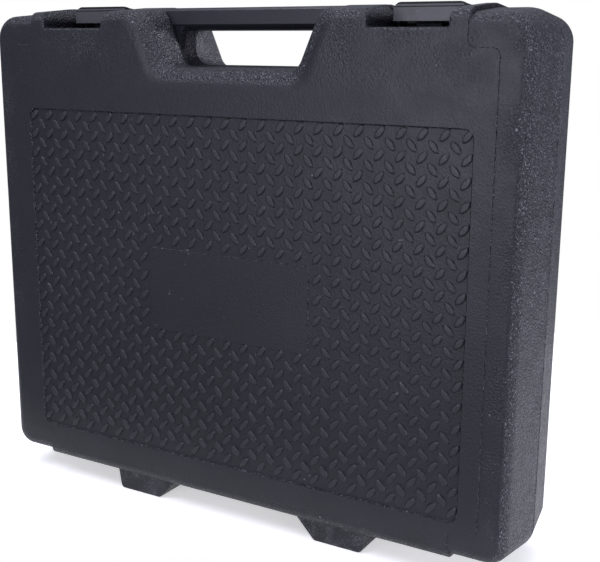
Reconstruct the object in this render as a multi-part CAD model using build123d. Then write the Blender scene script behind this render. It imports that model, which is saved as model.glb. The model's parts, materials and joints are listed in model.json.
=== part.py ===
from build123d import *
import os
import math

# Plastic carry case, standing on its feet. Millimetres, +Z up, +X to the
# right seen from the front, +Y to the back. The origin is on the ground,
# midway between the two halves.

# ---------------------------------------------------------------- sizes
HALF_W = 226.0          # half width at the parting plane
HALF_W_FRONT = 220.3    # half width at the face (the walls have draft)
Z_BOTTOM = 16.5         # underside of the corner zones at the parting plane
Z_TOP = 384.3           # top of the corner zones at the parting plane
Z_BOTTOM_FACE = 20.8    # the same at the face
Z_TOP_FACE = 380.0
FIELD_RISE_TOP = 3.0    # the middle zone stands this much higher
FIELD_RISE_BOTTOM = 2.8 # and lower
R_CORNER = 24.0         # outline corner radius at the parting plane, top
R_CORNER_FACE = 17.0
R_CORNER_LOW = 17.0     # the same at the bottom
R_CORNER_FACE_LOW = 14.0
Y_BORDER = 45.0         # face level at the corners and sides
Y_FIELD = 46.0          # raised central field
Y_PANEL = 44.4          # floor of the tread panel
R_NOSE = 8.5            # bullnose between face and walls
PART_GAP = 0.35         # each half stops this far from the parting plane
PART_BEVEL = 0.7        # bevel along the parting edge
WALL = 2.6              # outer wall
Y_INNER = 41.8          # inside of the face wall

FIELD_HALF_IN = 180.0   # raised field, narrow part (top and bottom)
FIELD_HALF_OUT = 201.0  # raised field, wide part
FIELD_Z_TOP = 359.3     # step at the top corners
FIELD_Z_BOTTOM = 40.0   # step at the bottom corners

PANEL_HALF = 187.2      # tread panel
PANEL_Z0 = 45.2
PANEL_Z1 = 310.5
PANEL_R = 8.0
PLATE_HALF = 70.0       # plain raised rectangle in the middle of the panel
PLATE_Z0 = 145.0
PLATE_Z1 = 210.0
PLATE_RISE = 0.7

SCOOP_Z = 343.6         # handle scoop, floor
SCOOP_HALF_BOTTOM = 54.0
SCOOP_HALF_TOP = 71.5   # where the sides would meet the top without the soft shoulder
SCOOP_R = 14.0          # soft edge to the face
SHOULDER_R = 14.0       # soft shoulder to the top
WEB_Y = 14.0            # web around the finger hole
HOLE_HALF = 56.5
HOLE_Z0 = 345.4
HOLE_Z1 = 374.6
HOLE_R = 12.5
HOLE_EDGE = 5.0         # rounded edge of the finger hole
GRIP_Y = 15.0
GRIP_Z0 = 370.4
GRIP_Z1 = 386.9

LATCH_X = 139.0         # latch centres
NOTCH_HALF = 28.0       # front notch
NOTCH_REAR_HALF = 26.0
NOTCH_Z = 371.5
NOTCH_R = 2.0
LATCH_HALF = 24.6
LATCH_PIVOT_Y = 14.0
LATCH_PIVOT_Z = 379.0
LATCH_PIN_R = 2.0
LATCH_TOP = 388.4
LATCH_CORNER = 4.0      # rounded upper corners of the latch
REAR_NOTCH_Y = 27.0

HINGE_Z = 6.0           # hinge axis, on the parting plane
KNUCKLE_R = 5.6
HINGE_PIN_R = 2.0
RUN_FIT = 0.05
FOOT_Y = 38.0

TRAY_T = 2.0
WELL_HALF = 206.0       # tool well
WELL_Z0 = 27.0
WELL_Z1 = 322.0
WELL_R = 16.0
WELL_Y = 36.0


def front_plane(y):
    """Plane facing the front: local x is +X, local y is +Z."""
    return Plane(origin=(0, y, 0), x_dir=(1, 0, 0), z_dir=(0, -1, 0))


def rounded(y, half, z0, z1, r):
    return front_plane(y) * Pos(0, (z0 + z1) / 2) * RectangleRounded(2 * half, z1 - z0, r)


def block(x0, x1, y0, y1, z0, z1):
    return Pos((x0 + x1) / 2, (y0 + y1) / 2, (z0 + z1) / 2) * Box(x1 - x0, y1 - y0, z1 - z0)


def rod(x0, x1, y, z, r):
    return Pos((x0 + x1) / 2, y, z) * Rot(0, 90, 0) * Cylinder(r, x1 - x0)


def one(shape):
    """The shape as a single solid (the largest, where a cut leaves crumbs)."""
    solids = shape.solids()
    return max(solids, key=lambda s: s.volume)


def rear(shape):
    return mirror(shape, about=Plane.XZ)


def left(shape):
    return mirror(shape, about=Plane.YZ)


# ---------------------------------------------------------------- outer form
def tapered_corners(y, half, z0, z1, r_top, r_low):
    """Rectangle with its own corner radius at the top and at the bottom."""
    face = Pos(0, (z0 + z1) / 2) * Rectangle(2 * half, z1 - z0)
    face = fillet([v for v in face.vertices() if abs(v.Y - z1) < 0.01], r_top)
    face = fillet([v for v in face.vertices() if abs(v.Y - z0) < 0.01], r_low)
    return front_plane(y) * face


def half_form(y_face, down, up):
    """One half, solid, with draft on the walls and a bullnose at the face."""
    body = loft([tapered_corners(-PART_GAP, HALF_W - PART_BEVEL, Z_BOTTOM - down + PART_BEVEL,
                                 Z_TOP + up - PART_BEVEL, R_CORNER - PART_BEVEL, R_CORNER_LOW - PART_BEVEL),
                 tapered_corners(-PART_GAP - 0.9, HALF_W, Z_BOTTOM - down, Z_TOP + up, R_CORNER, R_CORNER_LOW),
                 tapered_corners(-y_face, HALF_W_FRONT, Z_BOTTOM_FACE - down, Z_TOP_FACE + up,
                                 R_CORNER_FACE, R_CORNER_FACE_LOW)], ruled=True)
    edges = body.faces().sort_by(Axis.Y)[0].edges()
    return fillet(edges, R_NOSE)


def field_outline(grow):
    a = FIELD_HALF_IN + grow
    b = FIELD_HALF_OUT + grow
    zt = FIELD_Z_TOP + grow
    zb = FIELD_Z_BOTTOM - grow
    pts = [(a, 430), (a, zt), (b, zt), (b, zb), (a, zb), (a, -20),
           (-a, -20), (-a, zb), (-b, zb), (-b, zt), (-a, zt), (-a, 430)]
    face = make_face(Polyline(*pts, close=True).edges())
    corners = [v for v in face.vertices() if 0 < v.Y < 400]
    return fillet(corners, 5.0)


border_form = half_form(Y_BORDER, 0.0, 0.0)
field_form = half_form(Y_FIELD, FIELD_RISE_BOTTOM, FIELD_RISE_TOP)
field_prism = loft([front_plane(-43.0) * field_outline(0.9),
                    front_plane(-47.0) * field_outline(-0.7)], ruled=True)
field_prism += extrude(front_plane(1.0) * field_outline(0.9), 44.0)
outer = border_form + (field_form & field_prism)

panel_cut = loft([rounded(-Y_PANEL, PANEL_HALF - 1.2, PANEL_Z0 + 1.2, PANEL_Z1 - 1.2, PANEL_R - 1.2),
                  rounded(-Y_FIELD - 0.6, PANEL_HALF + 0.3, PANEL_Z0 - 0.3, PANEL_Z1 + 0.3, PANEL_R + 0.3)],
                 ruled=True)
outer = outer - panel_cut
plain_plate = loft([rounded(-Y_PANEL + 0.2, PLATE_HALF, PLATE_Z0, PLATE_Z1, 2.5),
                    rounded(-Y_PANEL - PLATE_RISE, PLATE_HALF - 0.8, PLATE_Z0 + 0.8, PLATE_Z1 - 0.8, 1.7)],
                   ruled=True)


# ---------------------------------------------------------------- handle scoop
def top_at(depth):
    """Height of the field's top surface at a depth from the parting plane."""
    z = Z_TOP + FIELD_RISE_TOP - (Z_TOP - Z_TOP_FACE) * depth / Y_FIELD
    over = depth - (Y_FIELD - R_NOSE)
    if over > 0:
        z -= R_NOSE - math.sqrt(max(0.0, R_NOSE ** 2 - over ** 2))
    return z


def scoop_outline(grow, z_shoulder):
    """Scoop seen from the front, with soft lower corners and soft shoulders."""
    xb, xs = SCOOP_HALF_BOTTOM + grow, SCOOP_HALF_TOP + grow
    rise = math.tan(math.radians(14.0))
    pts = [(-xb, SCOOP_Z - grow), (xb, SCOOP_Z - grow), (xs, z_shoulder), (xs + 40, z_shoulder + 40 * rise),
           (xs + 40, 430), (-xs - 40, 430), (-xs - 40, z_shoulder + 40 * rise), (-xs, z_shoulder)]
    face = make_face(Polyline(*pts, close=True).edges())
    face = fillet([v for v in face.vertices() if v.Y < SCOOP_Z + 1], 11.0 + 0.5 * max(grow, 0.0))
    return fillet([v for v in face.vertices() if abs(v.Y - z_shoulder) < 0.01], SHOULDER_R)


def stack(sections):
    body = None
    for s0, s1 in zip(sections[:-1], sections[1:]):
        piece = loft([s0, s1], ruled=True)
        body = piece if body is None else body + piece
    return body


def soft_cutter(outline, y_deep, y_face, r, steps):
    """A cut from the face back to y_deep whose edge to the face is rounded."""
    y_round = -(y_face - r)
    sections = [front_plane(y_deep) * outline(0.0), front_plane(y_round) * outline(0.0)]
    for k in range(1, steps + 1):
        a = math.radians(90.0 * k / steps)
        sections.append(front_plane(y_round - r * math.sin(a)) * outline(r * (1 - math.cos(a))))
    return stack(sections) + extrude(sections[-1], 4.0)


def scoop_section(y, grow):
    return front_plane(y) * scoop_outline(grow, top_at(abs(y)) - 1.0)


scoop_sections = [scoop_section(0.0, -0.8), scoop_section(-(Y_FIELD - SCOOP_R), 0.0)]
for k in range(1, 9):
    a = math.radians(90.0 * k / 8)
    scoop_sections.append(scoop_section(-(Y_FIELD - SCOOP_R) - SCOOP_R * math.sin(a), SCOOP_R * (1 - math.cos(a))))
scoop_cut = stack(scoop_sections) + extrude(scoop_sections[-1], 4.0)

# handle bar, half of a rounded section
grip_profile = Plane.YZ * make_face([
    Line((0, GRIP_Z0), (-4.0, GRIP_Z0)),
    ThreePointArc((-4.0, GRIP_Z0), (-11.3, GRIP_Z0 + 1.0), (-GRIP_Y, GRIP_Z0 + 4.2)),
    Line((-GRIP_Y, GRIP_Z0 + 4.2), (-GRIP_Y, GRIP_Z1 - 3.2)),
    ThreePointArc((-GRIP_Y, GRIP_Z1 - 3.2), (-GRIP_Y + 0.8, GRIP_Z1 - 1.3), (-GRIP_Y + 2.6, GRIP_Z1 - 0.5)),
    Line((-GRIP_Y + 2.6, GRIP_Z1 - 0.5), (0, GRIP_Z1)),
    Line((0, GRIP_Z1), (0, GRIP_Z0))])
bar = extrude(grip_profile, 110, both=True)
half_space_front = block(-300, 300, -100, -PART_GAP, -50, 450)
scoop_full = scoop_cut
front_grip = one((bar & scoop_full) & half_space_front)

def hole_section(y, grow):
    return front_plane(y) * Pos(0, (HOLE_Z0 + HOLE_Z1) / 2) * RectangleRounded(
        2 * (HOLE_HALF + grow), HOLE_Z1 - HOLE_Z0 + 2 * grow, HOLE_R + grow)


hole_sections = [hole_section(1.0, 0.0), hole_section(-(WEB_Y - HOLE_EDGE), 0.9)]
for k in range(1, 6):
    a = math.radians(90.0 * k / 5)
    hole_sections.append(hole_section(-(WEB_Y - HOLE_EDGE) - HOLE_EDGE * math.sin(a),
                                      0.9 + HOLE_EDGE * (1 - math.cos(a))))
hole = stack(hole_sections) + extrude(hole_sections[-1], 20.0)
web = extrude(front_plane(-PART_GAP) * scoop_outline(0.5, 392.0), WEB_Y - PART_GAP)
web = web & block(-100, 100, -WEB_Y, -PART_GAP, 335, 379)
web = (web - hole) - bar


# ---------------------------------------------------------------- latch notches
def notch_outline(half):
    def outline(grow):
        pts = [(-half, NOTCH_Z), (half, NOTCH_Z), (half, 380.0), (half + 12, 392.0),
               (-half - 12, 392.0), (-half, 380.0)]
        face = make_face(Polyline(*pts, close=True).edges())
        low = [v for v in face.vertices() if v.Y < NOTCH_Z + 1]
        face = fillet(low, 1.5)
        mid = [v for v in face.vertices() if abs(v.Y - 380.0) < 0.5]
        face = fillet(mid, 12.0)
        if abs(grow) > 1e-6:
            face = offset(face, grow, kind=Kind.INTERSECTION)
        return face
    return outline


notch_front = Pos(LATCH_X, 0, 0) * soft_cutter(notch_outline(NOTCH_HALF), 1.0, Y_FIELD, NOTCH_R, 4)
notch_rear = Pos(LATCH_X, 0, 0) * extrude(front_plane(1.0) * notch_outline(NOTCH_REAR_HALF)(0), REAR_NOTCH_Y + 1.0)


# ---------------------------------------------------------------- the two shells
def hollow(notch_half, notch_depth):
    inner = loft([rounded(1.0, HALF_W - WALL + 0.1, Z_BOTTOM + WALL - 0.1, Z_TOP - WALL + 0.1, R_CORNER - WALL),
                  rounded(-Y_INNER, HALF_W_FRONT - WALL - 0.4, Z_BOTTOM_FACE + WALL + 0.4,
                          Z_TOP_FACE - WALL - 0.4, R_CORNER_FACE - WALL)], ruled=True)
    inner = fillet(inner.faces().sort_by(Axis.Y)[0].edges(), R_NOSE - WALL)
    for side in (-1, 1):
        x = side * LATCH_X
        inner = inner - block(x - notch_half - WALL, x + notch_half + WALL, -notch_depth - WALL, 5,
                              NOTCH_Z - WALL, 400)
        # the wall stays full beside the notch's flared top
        inner = inner - block(x - notch_half - 9, x + notch_half + 9, -notch_depth - WALL, 5, 378.5, 400)
    inner = inner - extrude(front_plane(5.0) * scoop_outline(WALL, 380.0), 42.0)
    return inner - extrude(front_plane(-30.0) * scoop_outline(7.5, 376.0), 30.0)


front_solid = ((outer + plain_plate) - scoop_cut) + web
front_solid = front_solid - notch_front - left(notch_front)
rear_solid = (outer - scoop_cut) + web
rear_solid = rear_solid - notch_rear - left(notch_rear)

front_inner = hollow(NOTCH_HALF, 60.0)
rear_inner = hollow(NOTCH_REAR_HALF, REAR_NOTCH_Y)
front_shell = one(front_solid - front_inner)
rear_shell = rear(one(rear_solid - rear_inner))


# ---------------------------------------------------------------- inner walls
def tray(inner):
    slab = block(-300, 300, -3.4, -1.2, -50, 450)
    inset = loft([rounded(0.0, HALF_W - WALL - 0.1, Z_BOTTOM + WALL + 0.1, Z_TOP - WALL - 0.1, R_CORNER - WALL),
                  rounded(-Y_INNER, HALF_W_FRONT - WALL - 0.8, Z_BOTTOM_FACE + WALL + 0.8,
                          Z_TOP_FACE - WALL - 0.8, R_CORNER_FACE - WALL)], ruled=True)
    flange = (inset & slab) & inner
    well_out = loft([rounded(-1.2, WELL_HALF + TRAY_T, WELL_Z0 - TRAY_T, WELL_Z1 + TRAY_T, WELL_R + TRAY_T),
                     rounded(-WELL_Y, WELL_HALF + TRAY_T - 3.5, WELL_Z0 - TRAY_T + 3.5,
                             WELL_Z1 + TRAY_T - 3.5, WELL_R + TRAY_T - 2)], ruled=True)
    well_out = fillet(well_out.faces().sort_by(Axis.Y)[0].edges(), 5.0)
    well_in = loft([rounded(0.5, WELL_HALF, WELL_Z0, WELL_Z1, WELL_R),
                    rounded(-WELL_Y + TRAY_T, WELL_HALF - 3.5, WELL_Z0 + 3.5, WELL_Z1 - 3.5, WELL_R - 2)], ruled=True)
    well_in = fillet(well_in.faces().sort_by(Axis.Y)[0].edges(), 3.5)
    return one((flange + well_out) - well_in)


front_tray_whole = tray(front_inner)
rear_tray_whole = tray(rear_inner)


def rim(whole):
    """The flat rim of the inner wall beside the handle and round the latch."""
    return one(whole & block(0, 300, -60, 5, RIM_Z, 450))


RIM_Z = 341.6
front_rim_right = rim(front_tray_whole)
rear_rim_right = rear(rim(rear_tray_whole))
front_tray = one(front_tray_whole - block(-300, 300, -60, 5, RIM_Z, 450))
rear_tray = rear(one(rear_tray_whole - block(-300, 300, -60, 5, RIM_Z, 450)))

FOAM_Y = WELL_Y - TRAY_T - 0.1
lid_foam = loft([rounded(-FOAM_Y + 12.0, WELL_HALF - 5.6, WELL_Z0 + 5.6, WELL_Z1 - 5.6, 13),
                 rounded(-FOAM_Y, WELL_HALF - 7.6, WELL_Z0 + 7.6, WELL_Z1 - 7.6, 12)], ruled=True)

insert = loft([rounded(-FOAM_Y + 26.0, WELL_HALF - 4.6, WELL_Z0 + 4.6, WELL_Z1 - 4.6, 13),
               rounded(-FOAM_Y, WELL_HALF - 7.6, WELL_Z0 + 7.6, WELL_Z1 - 7.6, 12)], ruled=True)
# pockets for tools: a long one, a square one and a wide one
POCKETS = [(-180.0, 180.0, 222.0, 296.0), (-180.0, -20.0, 52.0, 196.0), (10.0, 180.0, 52.0, 196.0)]
for (x0, x1, z0, z1) in POCKETS:
    pocket = extrude(front_plane(-FOAM_Y + 27.0) * Pos((x0 + x1) / 2, (z0 + z1) / 2) *
                     RectangleRounded(x1 - x0, z1 - z0, 8), 21.0)
    insert = insert - pocket
tool_insert = rear(one(insert))


# ---------------------------------------------------------------- feet and hinges
def foot_profile():
    pts = [(72.0, 0.0), (111.5, 0.0), (114.6, 18.0), (116.6, 30.0), (43.0, 30.0), (55.0, 18.0)]
    face = make_face(Polyline(*pts, close=True).edges())
    low = [v for v in face.vertices() if v.Y < 0.5]
    return fillet(low, 4.0)


KN_X0, KN_X1 = 55.6, 115.2
foot = extrude(front_plane(0.0) * foot_profile(), FOOT_Y)
foot = fillet(foot.faces().sort_by(Axis.Y)[0].edges().filter_by(lambda e: e.center().Z < 25), 1.5)
foot = foot & block(0, 300, -FOOT_Y - 1, -0.0, -1, 40)
foot = foot - block(0, 300, -9.0, 1.0, HINGE_Z, 40)
foot = foot - outer
foot = foot + rod(KN_X0, KN_X1, 0, HINGE_Z, KNUCKLE_R)
# a rib carries the knuckle up to the underside of the shell
foot = foot + (block(KN_X0 + 8, KN_X1 - 2, -9.2, -PART_GAP - 0.1, HINGE_Z, 19) - outer)
foot = foot - rod(0, 300, 0, HINGE_Z, HINGE_PIN_R + RUN_FIT)
front_foot_right = one(foot)


def ear(x0, x1):
    prof = Plane.YZ * make_face([
        Line((0, HINGE_Z - KNUCKLE_R), (FOOT_Y - 5, 0.0)),
        ThreePointArc((FOOT_Y - 5, 0.0), (FOOT_Y - 1.4, 1.4), (FOOT_Y, 5.0)),
        Line((FOOT_Y, 5.0), (FOOT_Y, 30.0)),
        Line((FOOT_Y, 30.0), (0.45, 30.0)),
        Line((0.45, 30.0), (0.45, HINGE_Z)),
        Line((0.45, HINGE_Z), (0, HINGE_Z)),
        Line((0, HINGE_Z), (0, HINGE_Z - KNUCKLE_R))])
    body = Pos(x0, 0, 0) * extrude(prof, x1 - x0)
    body = body - rear(outer)
    body = body + rod(x0, x1, 0, HINGE_Z, KNUCKLE_R)
    return one(body - rod(0, 300, 0, HINGE_Z, HINGE_PIN_R))


EAR_IN = (37.5, 54.9)
EAR_OUT = (115.9, 133.0)
rear_foot_right_inner = ear(*EAR_IN)
rear_foot_right_outer = ear(*EAR_OUT)
hinge_pin_right = rod(EAR_IN[0] + 0.5, EAR_OUT[1] - 0.5, 0, HINGE_Z, HINGE_PIN_R)
hinge_pin_right = chamfer(hinge_pin_right.edges().filter_by(GeomType.CIRCLE), 0.5)

# ---------------------------------------------------------------- latches
LIP_Y = 13.0
latch_profile = Plane.YZ * make_face(Polyline(
    (-LIP_Y, 376.0), (-LIP_Y, 384.8), (-LIP_Y + 0.7, 385.6), (-LIP_Y + 1.7, 385.6), (-LIP_Y + 1.9, 386.9),
    (-LIP_Y + 3.2, LATCH_TOP), (-7.6, LATCH_TOP), (-4.4, 387.2), (4.0, 386.3), (10.0, 385.1), (15.4, 383.7), (18.6, 381.8),
    (19.5, 379.0), (17.9, 375.1), (14.0, 373.5), (10.1, 375.1), (8.6, 379.0), (8.9, 382.4),
    (3.0, 384.9), (-LIP_Y + 4.4, 385.2), (-LIP_Y + 2.8, 383.8), (-LIP_Y + 2.8, 379.6),
    (-LIP_Y + 4.0, 378.2), (-LIP_Y + 4.0, 377.0), (-LIP_Y + 3.2, 376.0), close=True).edges())
latch = Pos(LATCH_X - LATCH_HALF, 0, 0) * extrude(latch_profile, 2 * LATCH_HALF)
latch_front = make_face(Polyline((LATCH_X - LATCH_HALF, 370.0), (LATCH_X + LATCH_HALF, 370.0),
                                 (LATCH_X + LATCH_HALF, LATCH_TOP), (LATCH_X - LATCH_HALF, LATCH_TOP),
                                 close=True).edges())
latch_front = fillet([v for v in latch_front.vertices() if v.Y > 380], LATCH_CORNER)
latch = latch & extrude(front_plane(40.0) * latch_front, 80.0)
latch = latch - rod(0, 300, LATCH_PIVOT_Y, LATCH_PIVOT_Z, LATCH_PIN_R + RUN_FIT)
latch_right = one(latch)

latch_pin_right = rod(LATCH_X - NOTCH_REAR_HALF - 2.2, LATCH_X + NOTCH_REAR_HALF + 2.2,
                      LATCH_PIVOT_Y, LATCH_PIVOT_Z, LATCH_PIN_R)
rear_shell = one(rear_shell - latch_pin_right - left(latch_pin_right))

# the shells are kept as simple pieces that meet on plane cuts across flat faces
WELL_CUT_X, WELL_CUT_Z = 99.5, 327.0
SEAT_CUT_X, SEAT_CUT_Z = 178.5, 358.0
handle_zone = block(-WELL_CUT_X, WELL_CUT_X, -80, 80, WELL_CUT_Z, 450)
seat_zone = block(WELL_CUT_X, SEAT_CUT_X, -80, 80, SEAT_CUT_Z, 450)
front_handle_well = one(front_shell & handle_zone)
rear_handle_well = one(rear_shell & handle_zone)
front_latch_seat_right = one(front_shell & seat_zone)
rear_latch_seat_right = one(rear_shell & seat_zone)
front_shell = one(front_shell - handle_zone - seat_zone - left(seat_zone))
rear_shell = one(rear_shell - handle_zone - seat_zone - left(seat_zone))

# catch: a low block on the floor of the front notch, under the lip
catch_profile = Plane.YZ * make_face(Polyline(
    (-9.8, NOTCH_Z), (-9.8, 374.4), (-8.6, 375.4), (-4.5, 375.4), (-2.5, 373.5), (-2.5, NOTCH_Z), close=True).edges())
catch_right = Pos(LATCH_X - 9.0, 0, 0) * extrude(catch_profile, 18.0)
catch_right = chamfer([e for e in catch_right.edges()
                       if abs(abs(e.center().X - LATCH_X) - 9.0) < 0.01 and e.center().Z > 375.0], 1.2)

# ---------------------------------------------------------------- write
nodes = {
    "rear_shell": rear_shell,
    "rear_handle_well": rear_handle_well,
    "rear_latch_seat_left": left(rear_latch_seat_right),
    "rear_latch_seat_right": rear_latch_seat_right,
    "rear_tray": rear_tray,
    "rear_rim_left": left(rear_rim_right),
    "rear_rim_right": rear_rim_right,
    "rear_grip": rear(front_grip),
    "rear_foot_left_inner": left(rear_foot_right_inner),
    "rear_foot_left_outer": left(rear_foot_right_outer),
    "rear_foot_right_inner": rear_foot_right_inner,
    "rear_foot_right_outer": rear_foot_right_outer,
    "hinge_pin_left": left(hinge_pin_right),
    "hinge_pin_right": hinge_pin_right,
    "latch_pin_left": left(latch_pin_right),
    "latch_pin_right": latch_pin_right,
    "tool_insert": tool_insert,
    "front_shell": front_shell,
    "front_handle_well": front_handle_well,
    "front_latch_seat_left": left(front_latch_seat_right),
    "front_latch_seat_right": front_latch_seat_right,
    "front_tray": front_tray,
    "front_rim_left": left(front_rim_right),
    "front_rim_right": front_rim_right,
    "front_grip": front_grip,
    "front_foot_left": left(front_foot_right),
    "front_foot_right": front_foot_right,
    "catch_left": left(catch_right),
    "catch_right": catch_right,
    "lid_foam": lid_foam,
    "latch_left": left(latch_right),
    "latch_right": latch_right,
}

os.makedirs("parts", exist_ok=True)
for name, shape in nodes.items():
    shape = one(shape)
    export_step(shape, "parts/" + name + ".step")
    b = shape.bounding_box()
    print(name, "valid" if shape.is_valid else "NOT VALID", round(shape.volume / 1000.0, 1), "cm3",
          [round(v, 1) for v in (b.min.X, b.min.Y, b.min.Z, b.max.X, b.max.Y, b.max.Z)])
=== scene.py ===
import bmesh
import bpy
import json
import math
import random
from mathutils import Matrix, Vector


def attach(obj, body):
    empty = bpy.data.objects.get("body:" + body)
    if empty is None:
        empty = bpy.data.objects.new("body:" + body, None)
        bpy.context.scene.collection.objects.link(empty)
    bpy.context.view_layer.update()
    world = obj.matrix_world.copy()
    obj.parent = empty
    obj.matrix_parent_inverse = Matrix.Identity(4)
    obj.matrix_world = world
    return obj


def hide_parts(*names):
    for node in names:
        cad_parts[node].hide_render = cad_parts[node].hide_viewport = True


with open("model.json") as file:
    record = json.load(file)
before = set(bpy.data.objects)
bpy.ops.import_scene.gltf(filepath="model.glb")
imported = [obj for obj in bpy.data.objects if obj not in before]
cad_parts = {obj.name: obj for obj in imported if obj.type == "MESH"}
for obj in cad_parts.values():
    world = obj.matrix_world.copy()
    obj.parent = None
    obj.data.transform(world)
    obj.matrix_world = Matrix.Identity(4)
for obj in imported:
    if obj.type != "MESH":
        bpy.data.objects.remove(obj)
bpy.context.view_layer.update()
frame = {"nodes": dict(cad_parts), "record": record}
nodes = frame["nodes"]
scene = bpy.context.scene
random.seed(7)


# ------------------------------------------------------------------ node helpers
class Graph:
    """Short calls for building a shader node tree."""

    def __init__(self, material):
        material.use_nodes = True
        self.tree = material.node_tree
        self.bsdf = next(n for n in self.tree.nodes if n.type == "BSDF_PRINCIPLED")

    def new(self, kind, **settings):
        node = self.tree.nodes.new(kind)
        for key, value in settings.items():
            setattr(node, key, value)
        return node

    def link(self, a, b):
        self.tree.links.new(a, b)

    def put(self, socket, value):
        if hasattr(value, "is_output"):
            self.link(value, socket)
        else:
            socket.default_value = value

    def math(self, operation, a, b=0.0, c=None, clamp=False):
        node = self.new("ShaderNodeMath", operation=operation, use_clamp=clamp)
        self.put(node.inputs[0], a)
        self.put(node.inputs[1], b)
        if c is not None:
            self.put(node.inputs[2], c)
        return node.outputs[0]

    def span(self, value, low, high, out_low=0.0, out_high=1.0, smooth=True):
        node = self.new("ShaderNodeMapRange", interpolation_type="SMOOTHSTEP" if smooth else "LINEAR")
        self.put(node.inputs["Value"], value)
        node.inputs["From Min"].default_value = low
        node.inputs["From Max"].default_value = high
        self.put(node.inputs["To Min"], out_low)
        self.put(node.inputs["To Max"], out_high)
        return node.outputs["Result"]

    def noise(self, vector, scale, detail=2.0, roughness=0.5, distortion=0.0):
        node = self.new("ShaderNodeTexNoise")
        self.link(vector, node.inputs["Vector"])
        node.inputs["Scale"].default_value = scale
        node.inputs["Detail"].default_value = detail
        node.inputs["Roughness"].default_value = roughness
        node.inputs["Distortion"].default_value = distortion
        return node.outputs[0]

    def cells(self, vector, scale, feature="F1", smoothness=None):
        node = self.new("ShaderNodeTexVoronoi", feature=feature)
        self.link(vector, node.inputs["Vector"])
        node.inputs["Scale"].default_value = scale
        if smoothness is not None:
            node.inputs["Smoothness"].default_value = smoothness
        return node.outputs["Distance"]

    def blend(self, factor, a, b):
        node = self.new("ShaderNodeMix", data_type="RGBA")
        self.put(node.inputs[0], factor)
        self.put(node.inputs[6], a)
        self.put(node.inputs[7], b)
        return node.outputs[2]

    def mapped(self, vector, scale):
        node = self.new("ShaderNodeMapping")
        self.link(vector, node.inputs["Vector"])
        node.inputs["Scale"].default_value = scale
        return node.outputs[0]

    def bump(self, height, strength, distance, under=None):
        node = self.new("ShaderNodeBump")
        self.link(height, node.inputs["Height"])
        self.put(node.inputs["Strength"], strength)
        node.inputs["Distance"].default_value = distance
        if under is not None:
            self.link(under, node.inputs["Normal"])
        return node.outputs[0]


def rgb(r, g, b):
    return (r, g, b, 1.0)


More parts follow.
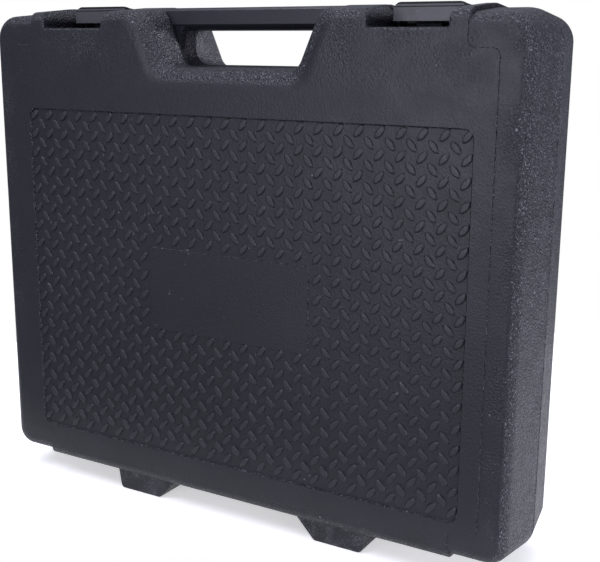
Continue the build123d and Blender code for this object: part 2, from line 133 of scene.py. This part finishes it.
# ------------------------------------------------------------------ materials
def moulded_plastic(name, dark, light, wear_and_glint, rough, grain_face, grain_rim, glint_amount, crown_highlight=None, top_shade=None,
                     recess_shade=0.0):
    """Spark-textured moulded plastic. The grain is coarse on the rims, walls and
    shoulders and fades out towards the middle of the flat faces."""
    material = bpy.data.materials.new(name)
    g = Graph(material)
    spot = g.new("ShaderNodeTexCoord")
    here, turned = spot.outputs["Object"], spot.outputs["Normal"]
    split = g.new("ShaderNodeSeparateXYZ")
    g.link(turned, split.inputs[0])
    where = g.new("ShaderNodeSeparateXYZ")
    g.link(here, where.inputs[0])
    far_x = g.math("ABSOLUTE", where.outputs["X"])
    high = where.outputs["Z"]

    patch = g.noise(here, 24.0, 3.0, 0.6)
    rim = g.span(g.math("ABSOLUTE", split.outputs["Y"]), 0.985, 0.86)
    near = g.math("MAXIMUM", g.span(high, 0.325, 0.372), g.span(far_x, 0.196, 0.216))
    near = g.math("MAXIMUM", near, g.span(high, 0.036, 0.018))
    near = g.math("MULTIPLY", near, g.span(patch, 0.42, 0.66, 0.04, 0.42))
    coarse = g.math("MAXIMUM", rim, near)
    # painted shade: masks for the latch notches and the front half of the finger-hole web, where fewer light flecks and
    # less shine stand in for shade
    aside = g.math("ABSOLUTE", g.math("SUBTRACT", far_x, 0.139))
    recess_shade_mask = g.math("MULTIPLY", g.span(aside, 0.0290, 0.0279), g.span(high, 0.3702, 0.3722))
    recess_shade_mask = g.math("MULTIPLY", recess_shade_mask, g.span(where.outputs["Y"], 0.0274, 0.0268))
    web_shade_mask = g.math("MULTIPLY", g.span(far_x, 0.0735, 0.0710), g.span(high, 0.3432, 0.3452))
    web_shade_mask = g.math("MULTIPLY", web_shade_mask, g.span(where.outputs["Y"], -0.0172, -0.0158))
    web_shade_mask = g.math("MULTIPLY", web_shade_mask, g.span(where.outputs["Y"], 0.0002, -0.0003))
    recess_shade_mask = g.math("MAXIMUM", recess_shade_mask, web_shade_mask)
    unshaded = g.math("MULTIPLY_ADD", recess_shade_mask, -recess_shade, 1.0)

    broad = g.noise(here, 7.0, 3.0, 0.55, 0.4)
    cloud = g.noise(here, 42.0, 4.0, 0.65)
    grain = g.noise(here, 600.0, 2.0, 0.6)
    dots = g.math("MULTIPLY", g.span(g.cells(here, 520.0), 0.33, 0.16), 0.8)
    dots_fine = g.math("MULTIPLY", g.span(g.cells(here, 860.0), 0.34, 0.18), 0.7)
    sparkle = g.math("MULTIPLY", g.math("MAXIMUM", dots, dots_fine), g.span(grain, 0.40, 0.56))
    pits = g.cells(here, 720.0, "SMOOTH_F1", 0.4)
    pits_fine = g.noise(here, 1400.0, 2.0, 0.5)

    # colour: slow drift, faint flow marks, and painted glints: light flecks where the grain stands up, as grazing light
    # would catch it
    tone = g.blend(g.span(broad, 0.35, 0.65), rgb(*dark), rgb(*light))
    tone = g.blend(g.math("MULTIPLY", g.span(cloud, 0.42, 0.75), 0.35), tone, rgb(*[0.6 * c for c in dark]))
    grain_glints = g.math("MULTIPLY", sparkle, g.math("MULTIPLY_ADD", coarse, glint_amount, 0.05 * glint_amount))
    tone = g.blend(g.math("MULTIPLY", grain_glints, unshaded), tone, rgb(*wear_and_glint))
    # rubbed patches along the outermost edges, partly wear and partly painted glints: on the side walls they stand in
    # for bright speckles of grazing light
    out_x = g.span(far_x, 0.2195, 0.2262)
    low_z = g.span(high, 0.020, 0.0145)
    edge = g.math("MAXIMUM", out_x, low_z)
    scuff_and_glint = g.math("MULTIPLY", g.math("MULTIPLY", edge, g.span(g.noise(here, 95.0, 4.0, 0.7), 0.42, 0.66)), 0.55)
    tone = g.blend(g.math("MULTIPLY", scuff_and_glint, g.math("MULTIPLY_ADD", sparkle, 0.85, 0.15)), tone, rgb(*wear_and_glint))
    # painted highlight: faces turned straight out, such as the stud tops, are lightened
    if crown_highlight is not None:
        flat_on = g.span(g.math("ABSOLUTE", split.outputs["Y"]), 0.93, 0.99)
        tone = g.blend(flat_on, tone, rgb(*crown_highlight))
    # painted shade: faces turned upwards are darkened
    if top_shade is not None:
        tone = g.blend(g.span(split.outputs["Z"], 0.30, 0.50), tone, rgb(*top_shade))
    # odd bright nicks
    nick = g.math("MULTIPLY", g.span(g.noise(here, 260.0, 1.0, 0.5), 0.745, 0.80), g.span(patch, 0.50, 0.62))
    tone = g.blend(g.math("MULTIPLY", nick, 0.5), tone, rgb(*[1.6 * c for c in wear_and_glint]))
    g.link(tone, g.bsdf.inputs["Base Color"])

    shine = g.math("MULTIPLY_ADD", g.math("SUBTRACT", cloud, 0.5), 0.24, rough)
    shine = g.math("MULTIPLY_ADD", g.math("SUBTRACT", grain, 0.5), g.math("MULTIPLY_ADD", coarse, 0.5, 0.12), shine)
    shine = g.math("MULTIPLY_ADD", coarse, 0.02, shine, clamp=True)
    g.link(shine, g.bsdf.inputs["Roughness"])

    amount = g.math("MULTIPLY_ADD", coarse, grain_rim - grain_face, grain_face, clamp=True)
    height = g.math("MULTIPLY_ADD", pits, 0.6, grain)
    height = g.math("MULTIPLY_ADD", pits_fine, 0.3, height)
    g.link(g.bump(height, amount, 0.0013), g.bsdf.inputs["Normal"])
    # less shine as painted shade: in the recesses, towards the bottom and on the latch tops
    low_shade = g.math("MULTIPLY_ADD", g.span(high, 0.040, 0.012), -0.40, 1.0)
    gloss = g.math("MULTIPLY", g.math("MULTIPLY", unshaded, low_shade), 0.42)
    if top_shade is not None:
        gloss = g.math("MULTIPLY", gloss, g.span(split.outputs["Z"], 0.30, 0.50, 1.0, 0.22))
    g.link(gloss, g.bsdf.inputs["Specular IOR Level"])
    g.bsdf.inputs["IOR"].default_value = 1.5
    return material


def steel(name):
    material = bpy.data.materials.new(name)
    g = Graph(material)
    here = g.new("ShaderNodeTexCoord").outputs["Object"]
    rings = g.noise(g.mapped(here, (2600.0, 60.0, 60.0)), 1.0, 3.0, 0.6)
    dull = g.noise(here, 160.0, 3.0, 0.6)
    tone = g.blend(g.span(rings, 0.3, 0.7), rgb(0.36, 0.36, 0.37), rgb(0.52, 0.52, 0.53))
    tone = g.blend(g.math("MULTIPLY", g.span(dull, 0.5, 0.75), 0.4), tone, rgb(0.20, 0.19, 0.18))
    g.link(tone, g.bsdf.inputs["Base Color"])
    g.bsdf.inputs["Metallic"].default_value = 1.0
    g.link(g.span(dull, 0.3, 0.7, 0.24, 0.42), g.bsdf.inputs["Roughness"])
    g.link(g.bump(rings, 0.25, 0.0002), g.bsdf.inputs["Normal"])
    return material


def foam(name, dark, light):
    """Open-cell foam: small pores with painted shade, darker than the soft ridges between them."""
    material = bpy.data.materials.new(name)
    g = Graph(material)
    here = g.new("ShaderNodeTexCoord").outputs["Object"]
    pores = g.cells(here, 620.0)
    fine = g.noise(here, 1900.0, 3.0, 0.6)
    broad = g.noise(here, 14.0, 2.0, 0.5)
    height = g.math("MULTIPLY_ADD", fine, 0.5, pores)
    # painted shade: colour follows the bump height, darker down in the pores
    tone = g.blend(g.span(height, 0.35, 0.95), rgb(*dark), rgb(*light))
    tone = g.blend(g.math("MULTIPLY", g.span(broad, 0.4, 0.7), 0.3), tone, rgb(*[0.7 * c for c in dark]))
    g.link(tone, g.bsdf.inputs["Base Color"])
    g.link(g.span(fine, 0.2, 0.8, 0.82, 0.98), g.bsdf.inputs["Roughness"])
    g.link(g.bump(height, 0.8, 0.0009), g.bsdf.inputs["Normal"])
    g.bsdf.inputs["Specular IOR Level"].default_value = 0.25
    return material


case_plastic = moulded_plastic("case_plastic_look", (0.0062, 0.0064, 0.0100), (0.0090, 0.0092, 0.0135),
                               (0.19, 0.19, 0.21), 0.46, 0.14, 1.0, 0.85, recess_shade=0.85)
tray_plastic = moulded_plastic("tray_plastic_look", (0.0095, 0.0095, 0.0125), (0.0135, 0.0135, 0.017),
                               (0.06, 0.06, 0.07), 0.52, 0.16, 0.35, 0.22)
grip_plastic = moulded_plastic("grip_plastic_look", (0.0095, 0.0098, 0.0145), (0.0125, 0.0128, 0.0180),
                               (0.06, 0.06, 0.07), 0.40, 0.02, 0.05, 0.05)
latch_plastic = moulded_plastic("latch_plastic_look", (0.058, 0.058, 0.065), (0.070, 0.070, 0.077),
                                (0.10, 0.10, 0.11), 0.40, 0.03, 0.06, 0.06, top_shade=(0.0035, 0.0048, 0.0055))
tread_plastic = moulded_plastic("tread_plastic_look", (0.0050, 0.0052, 0.0085), (0.0072, 0.0074, 0.0110),
                                (0.10, 0.10, 0.115), 0.46, 0.14, 0.30, 0.30, crown_highlight=(0.015, 0.015, 0.0195))
pin_steel = steel("pin_steel_look")
grey_foam = foam("foam_look", (0.012, 0.012, 0.014), (0.045, 0.045, 0.050))

look_of = {"case_plastic": case_plastic, "tray_plastic": tray_plastic, "grip_plastic": grip_plastic,
           "latch_plastic": latch_plastic, "pin_steel": pin_steel, "foam": grey_foam}
slot_of = {s["node"]: s["material_slot"] for s in frame["record"]["subparts"]}


# ------------------------------------------------------------------ soft shading of the CAD nodes
def shading_group(degrees):
    """Joins split vertices and shades smooth across edges under the angle."""
    group = bpy.data.node_groups.new("soft_shading_%d" % degrees, "GeometryNodeTree")
    group.interface.new_socket("Geometry", in_out="INPUT", socket_type="NodeSocketGeometry")
    group.interface.new_socket("Geometry", in_out="OUTPUT", socket_type="NodeSocketGeometry")
    start = group.nodes.new("NodeGroupInput")
    end = group.nodes.new("NodeGroupOutput")
    weld = group.nodes.new("GeometryNodeMergeByDistance")
    weld.inputs["Distance"].default_value = 2e-6
    angle = group.nodes.new("GeometryNodeInputMeshEdgeAngle")
    over = group.nodes.new("FunctionNodeCompare")
    over.data_type = "FLOAT"
    over.operation = "GREATER_THAN"
    over.inputs[1].default_value = math.radians(degrees)
    normals = group.nodes.new("GeometryNodeSetMeshNormal")
    normals.inputs["Remove Custom"].default_value = True
    group.links.new(start.outputs[0], weld.inputs["Geometry"])
    group.links.new(weld.outputs[0], normals.inputs["Mesh"])
    group.links.new(angle.outputs["Unsigned Angle"], over.inputs[0])
    group.links.new(over.outputs[0], normals.inputs["Edge Sharpness"])
    group.links.new(normals.outputs[0], end.inputs[0])
    return group


shade_soft = shading_group(32)
for name, node in nodes.items():
    # painted shade: the catches take the darker case plastic instead of their own latch plastic
    material = case_plastic if name.startswith("catch") else look_of[slot_of[name]]
    if not node.material_slots:
        node.data.materials.append(material)
    for s in node.material_slots:
        s.material = material
    soft = node.modifiers.new("soft_shading", "NODES")
    soft.node_group = shade_soft
    even = node.modifiers.new("even_normals", "WEIGHTED_NORMAL")
    even.mode = "FACE_AREA"
    even.keep_sharp = True
    even.weight = 50


# ------------------------------------------------------------------ tread pattern
def new_piece(name, verts, faces, material, body, smooth=True):
    mesh = bpy.data.meshes.new(name)
    mesh.from_pydata(verts, [], faces)
    mesh.update()
    if smooth:
        mesh.polygons.foreach_set("use_smooth", [True] * len(mesh.polygons))
    obj = bpy.data.objects.new(name, mesh)
    scene.collection.objects.link(obj)
    obj.data.materials.append(material)
    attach(obj, body)
    return obj


PITCH_X = 0.0152
PITCH_Z = 0.01485
TOP_Z = 0.3052
FLOOR_Y = 0.0444
RISE = 0.0012
HALF_LONG = 0.0054
HALF_WIDE = 0.0026
TILT = math.radians(50.0)
ROUND = 20
PROFILE = [(0.30, 1.0), (0.60, 0.99), (0.78, 0.93), (0.89, 0.74), (0.96, 0.40), (1.02, -0.10)]


def tread(name, side, body, plain):
    """Rows of lens-shaped studs, leaning one way and the other in turn."""
    verts, faces = [], []

    def stud(x, z, lean):
        x += random.uniform(-0.00012, 0.00012)
        z += random.uniform(-0.00012, 0.00012)
        first = len(verts)
        c, s = math.cos(TILT), math.sin(TILT) * lean
        verts.append((x, side * (FLOOR_Y + RISE), z))
        for share, lift in PROFILE:
            for k in range(ROUND):
                a = 2 * math.pi * k / ROUND
                u = HALF_LONG * share * math.cos(a)
                v = HALF_WIDE * share * math.sin(a) * abs(math.sin(a)) ** 0.35
                verts.append((x + u * c - v * s, side * (FLOOR_Y + RISE * lift), z + u * s + v * c))
        flip = side > 0
        for k in range(ROUND):
            n = (k + 1) % ROUND
            tri = (first, first + 1 + k, first + 1 + n)
            faces.append(tri[::-1] if flip else tri)
            for r in range(len(PROFILE) - 1):
                a0 = first + 1 + r * ROUND
                b0 = a0 + ROUND
                quad = (a0 + k, b0 + k, b0 + n, a0 + n)
                faces.append(quad[::-1] if flip else quad)

    def free(x, z, reach_x, reach_z):
        return not (plain and abs(x) < 0.0700 + reach_x and 0.1450 - reach_z < z < 0.2100 + reach_z)

    for j in range(18):
        for i in range(25):
            x, z = (i - 12) * PITCH_X, TOP_Z - PITCH_Z * j
            if free(x, z, 0.0012, 0.0015):
                stud(x, z, 1)
    for j in range(17):
        for i in range(24):
            x, z = (i - 11.5) * PITCH_X, TOP_Z - PITCH_Z * (j + 0.5)
            if free(x, z, 0.0012, 0.0015):
                stud(x, z, -1)
    return new_piece(name, verts, faces, tread_plastic, body)


tread("front_tread", -1, "front_half", True)
tread("rear_tread", 1, "rear_half", False)


# ------------------------------------------------------------------ foam inside
def egg_crate():
    """Sheet of convoluted foam in the front half: rounded peaks and hollows."""
    back, x_half, z0, z1, corner = -0.0338, 0.1992, 0.0335, 0.3155, 0.012
    peak, pitch = -0.0221, 0.0252
    cols, rows = 128, 90
    verts, faces = [], []

    def reach(z):
        d = min(z - z0, z1 - z)
        return x_half if d >= corner else x_half - corner + math.sqrt(max(0.0, corner ** 2 - (corner - d) ** 2))

    for j in range(rows + 1):
        z = z0 + (z1 - z0) * j / rows
        w = reach(z)
        for i in range(cols + 1):
            x = w * (2.0 * i / cols - 1.0)
            wave = 0.5 + 0.25 * (math.cos(2 * math.pi * x / pitch) + math.cos(2 * math.pi * (z - z0) / pitch))
            wave = wave * wave * (3 - 2 * wave)
            rim = min(1.0, min(w - abs(x), z - z0, z1 - z) / 0.0035)
            lift = (0.36 + 0.64 * wave) * (0.72 + 0.28 * math.sin(rim * math.pi / 2))
            lift += random.uniform(-0.006, 0.006)
            verts.append((x, back + (peak - back) * min(lift, 1.0), z))
    wide = cols + 1
    for j in range(rows):
        for i in range(cols):
            a = j * wide + i
            faces.append((a, a + wide, a + wide + 1, a + 1))
    ring = [i for i in range(wide)] + [j * wide + cols for j in range(1, rows + 1)] + \
           [rows * wide + i for i in range(cols - 1, -1, -1)] + [j * wide for j in range(rows - 1, 0, -1)]
    first = len(verts)
    for v in ring:
        verts.append((verts[v][0], back, verts[v][2]))
    for k in range(len(ring)):
        n = (k + 1) % len(ring)
        faces.append((ring[k], ring[n], first + n, first + k))
    faces.append(tuple(first + k for k in range(len(ring))))
    piece = new_piece("lid_egg_foam", verts, faces, grey_foam, "front_half")
    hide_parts("lid_foam")


def round_box(x0, x1, z0, z1, r, grow, steps=8):
    x0, x1, z0, z1, r = x0 - grow, x1 + grow, z0 - grow, z1 + grow, r + grow
    points = []
    for cx, cz, start in ((x1 - r, z1 - r, 0), (x0 + r, z1 - r, 90), (x0 + r, z0 + r, 180), (x1 - r, z0 + r, 270)):
        for k in range(steps + 1):
            a = math.radians(start + 90.0 * k / steps)
            points.append((cx + r * math.cos(a), cz + r * math.sin(a)))
    return points


def die_cut_bed():
    """Foam bed in the rear half, with three die-cut pockets and soft cut edges."""
    mesh = bpy.data.meshes.new("tool_foam_bed")
    bm = bmesh.new()
    face_y, low_y = 0.0081, 0.0338

    def loop(points, y):
        return [bm.verts.new((x, y, z)) for x, z in points]

    def band(a, b):
        for k in range(len(a)):
            n = (k + 1) % len(a)
            bm.faces.new((a[k], a[n], b[n], b[k]))

    def edges_of(ring):
        return [bm.edges.get((ring[k], ring[(k + 1) % len(ring)])) for k in range(len(ring))]

    outside = (-0.2010, 0.2010, 0.0320, 0.3170, 0.0125)
    rings = [loop(round_box(*outside, -0.0016), face_y), loop(round_box(*outside, -0.0006), face_y + 0.0005),
             loop(round_box(*outside, -0.0001), face_y + 0.0016), loop(round_box(*outside, -0.0026), low_y)]
    for a, b in zip(rings[:-1], rings[1:]):
        band(a, b)
    bm.faces.new(rings[-1])
    rims = edges_of(rings[0])
    for x0, x1, z0, z1 in ((-0.180, 0.180, 0.222, 0.296), (-0.180, -0.020, 0.052, 0.196), (0.010, 0.180, 0.052, 0.196)):
        hole = (x0, x1, z0, z1, 0.008)
        steps = [(0.0012, 0.0), (0.0004, 0.0004), (0.0, 0.0014), (-0.0003, 0.0100), (-0.0003, 0.0187), (-0.0014, 0.0197)]
        cut = [loop(round_box(*hole, grow), face_y + drop) for grow, drop in steps]
        for a, b in zip(cut[:-1], cut[1:]):
            band(a, b)
        bm.faces.new(cut[-1])
        rims += edges_of(cut[0])
    bmesh.ops.triangle_fill(bm, edges=rims, use_beauty=True, use_dissolve=False)
    bmesh.ops.recalc_face_normals(bm, faces=bm.faces)
    bm.to_mesh(mesh)
    bm.free()
    mesh.polygons.foreach_set("use_smooth", [True] * len(mesh.polygons))
    piece = bpy.data.objects.new("tool_foam_bed", mesh)
    scene.collection.objects.link(piece)
    piece.data.materials.append(grey_foam)
    even = piece.modifiers.new("even_normals", "WEIGHTED_NORMAL")
    even.keep_sharp = True
    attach(piece, "rear_half")
    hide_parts("tool_insert")


def closing_rib():
    """Low rib on the rear half's rim that fills the gap at the parting line."""
    y0, y1, thick = -0.00095, 0.0013, 0.0016
    outer = round_box(-0.2150, 0.2150, 0.0205, 0.3335, 0.018, 0.0)
    inner = round_box(-0.2150, 0.2150, 0.0205, 0.3335, 0.018, -thick)
    n = len(outer)
    verts = [(x, y, z) for y in (y0, y1) for ring in (outer, inner) for x, z in ring]
    faces = []
    for k in range(n):
        m = (k + 1) % n
        faces.append((k, m, n + m, n + k))
        faces.append((2 * n + k, 3 * n + k, 3 * n + m, 2 * n + m))
        faces.append((k, 2 * n + k, 2 * n + m, m))
        faces.append((n + k, n + m, 3 * n + m, 3 * n + k))
    new_piece("rear_rim_rib", verts, faces, tray_plastic, "rear_half", smooth=False)
    for side, word in ((-1, "left"), (1, "right")):
        x0, x1 = side * 0.2050 - thick / 2, side * 0.2050 + thick / 2
        box = [(x, y, z) for x in (x0, x1) for y in (y0, y1) for z in (0.3345, 0.3804)]
        quads = [(0, 1, 3, 2), (4, 6, 7, 5), (0, 4, 5, 1), (2, 3, 7, 6), (0, 2, 6, 4), (1, 5, 7, 3)]
        new_piece("rear_rim_rib_" + word, box, quads, tray_plastic, "rear_half", smooth=False)


egg_crate()
die_cut_bed()
closing_rib()


# ------------------------------------------------------------------ floor, light, camera
def stage_material():
    material = bpy.data.materials.new("floor_look")
    g = Graph(material)
    here = g.new("ShaderNodeTexCoord").outputs["Object"]
    tone = g.blend(g.noise(here, 3.0, 2.0), rgb(0.90, 0.90, 0.90), rgb(0.92, 0.92, 0.92))
    g.link(tone, g.bsdf.inputs["Base Color"])
    g.bsdf.inputs["Roughness"].default_value = 0.9
    g.bsdf.inputs["Specular IOR Level"].default_value = 0.0
    g.bsdf.inputs["Emission Color"].default_value = rgb(1.0, 1.0, 1.0)
    g.bsdf.inputs["Emission Strength"].default_value = FLOOR_GLOW
    return material


FLOOR_GLOW = 0.50
FLOOR_X = (-0.50, 0.56)
FLOOR_Y = (-0.10, 0.62)
AIR = (0.27, 0.275, 0.335)
TINT = (0.95, 0.935, 1.08)
floor_mesh = bpy.data.meshes.new("floor")
floor_ring = [(FLOOR_X[0], FLOOR_Y[0], 0.0), (FLOOR_X[1], FLOOR_Y[0], 0.0),
              (FLOOR_X[1], FLOOR_Y[1], 0.0), (FLOOR_X[0], FLOOR_Y[1], 0.0)]
floor_mesh.from_pydata(floor_ring, [], [(0, 1, 2, 3)])
floor = bpy.data.objects.new("floor", floor_mesh)
scene.collection.objects.link(floor)
floor.data.materials.append(stage_material())

# a white backdrop for the eye, and softer, cooler air for the light
world = bpy.data.worlds.new("studio")
scene.world = world
world.use_nodes = True
wt = world.node_tree
seen = next(n for n in wt.nodes if n.type == "BACKGROUND")
seen.inputs["Color"].default_value = rgb(1.0, 1.0, 1.0)
seen.inputs["Strength"].default_value = 1.0
air = wt.nodes.new("ShaderNodeBackground")
air.inputs["Color"].default_value = rgb(*AIR)
air.inputs["Strength"].default_value = 1.0
which = wt.nodes.new("ShaderNodeMixShader")
rays = wt.nodes.new("ShaderNodeLightPath")
out = next(n for n in wt.nodes if n.type == "OUTPUT_WORLD")
wt.links.new(rays.outputs["Is Camera Ray"], which.inputs[0])
wt.links.new(air.outputs[0], which.inputs[1])
wt.links.new(seen.outputs[0], which.inputs[2])
wt.links.new(which.outputs[0], out.inputs["Surface"])


def softbox(name, place, aim, width, height, power):
    light = bpy.data.lights.new(name, "AREA")
    light.shape = "RECTANGLE"
    light.size = width
    light.size_y = height
    light.energy = power
    light.color = TINT
    obj = bpy.data.objects.new(name, light)
    obj.location = place
    obj.rotation_euler = (Vector(aim) - Vector(place)).to_track_quat("-Z", "Y").to_euler()
    scene.collection.objects.link(obj)
    return obj


softbox("top", (0.1, 0.1, 1.9), (0, 0, 0.2), 1.7, 1.4, 23)
softbox("key_left", (-0.55, -0.95, 1.60), (0, 0, 0.3), 0.90, 0.80, 17)
softbox("front_panel", (-0.27, -1.92, 0.30), (0.1, 0, 0.25), 0.8, 0.7, 13)
softbox("side_strip", (1.22, -0.28, 0.14), (0.2, 0, 0.2), 1.1, 0.4, 13)

# a small lamp from behind that looks through the finger hole
snoot_data = bpy.data.lights.new("snoot", "SPOT")
snoot_data.energy = 105
snoot_data.color = TINT
snoot_data.spot_size = math.radians(3.4)
snoot_data.spot_blend = 0.5
snoot_data.shadow_soft_size = 0.04
snoot = bpy.data.objects.new("snoot", snoot_data)
snoot.location = (0.754, 1.267, 0.362)
snoot.rotation_euler = (Vector((-0.056, 0.010, 0.354)) - snoot.location).to_track_quat("-Z", "Y").to_euler()
scene.collection.objects.link(snoot)

yaw, pitch, roll = math.radians(-30.12), math.radians(-12.90), math.radians(0.445)
ahead = Vector((math.sin(yaw) * math.cos(pitch), math.cos(yaw) * math.cos(pitch), math.sin(pitch)))
right = Vector((math.cos(yaw), -math.sin(yaw), 0.0))
up = right.cross(ahead)
right_r = math.cos(roll) * right + math.sin(roll) * up
up_r = -math.sin(roll) * right + math.cos(roll) * up
camera_data = bpy.data.cameras.new("camera")
camera_data.sensor_fit = "HORIZONTAL"
camera_data.sensor_width = 36.0
camera_data.lens = 61.05
camera_data.clip_start = 0.01
camera_data.clip_end = 60.0
camera = bpy.data.objects.new("camera", camera_data)
scene.collection.objects.link(camera)
spot = Vector((0.4116, -0.6459, 0.3581))
turn = Matrix((right_r, up_r, -ahead)).transposed().to_4x4()
camera.matrix_world = Matrix.Translation(spot) @ turn
scene.camera = camera
scene.view_settings.view_transform = "Standard"

bpy.context.view_layer.update()
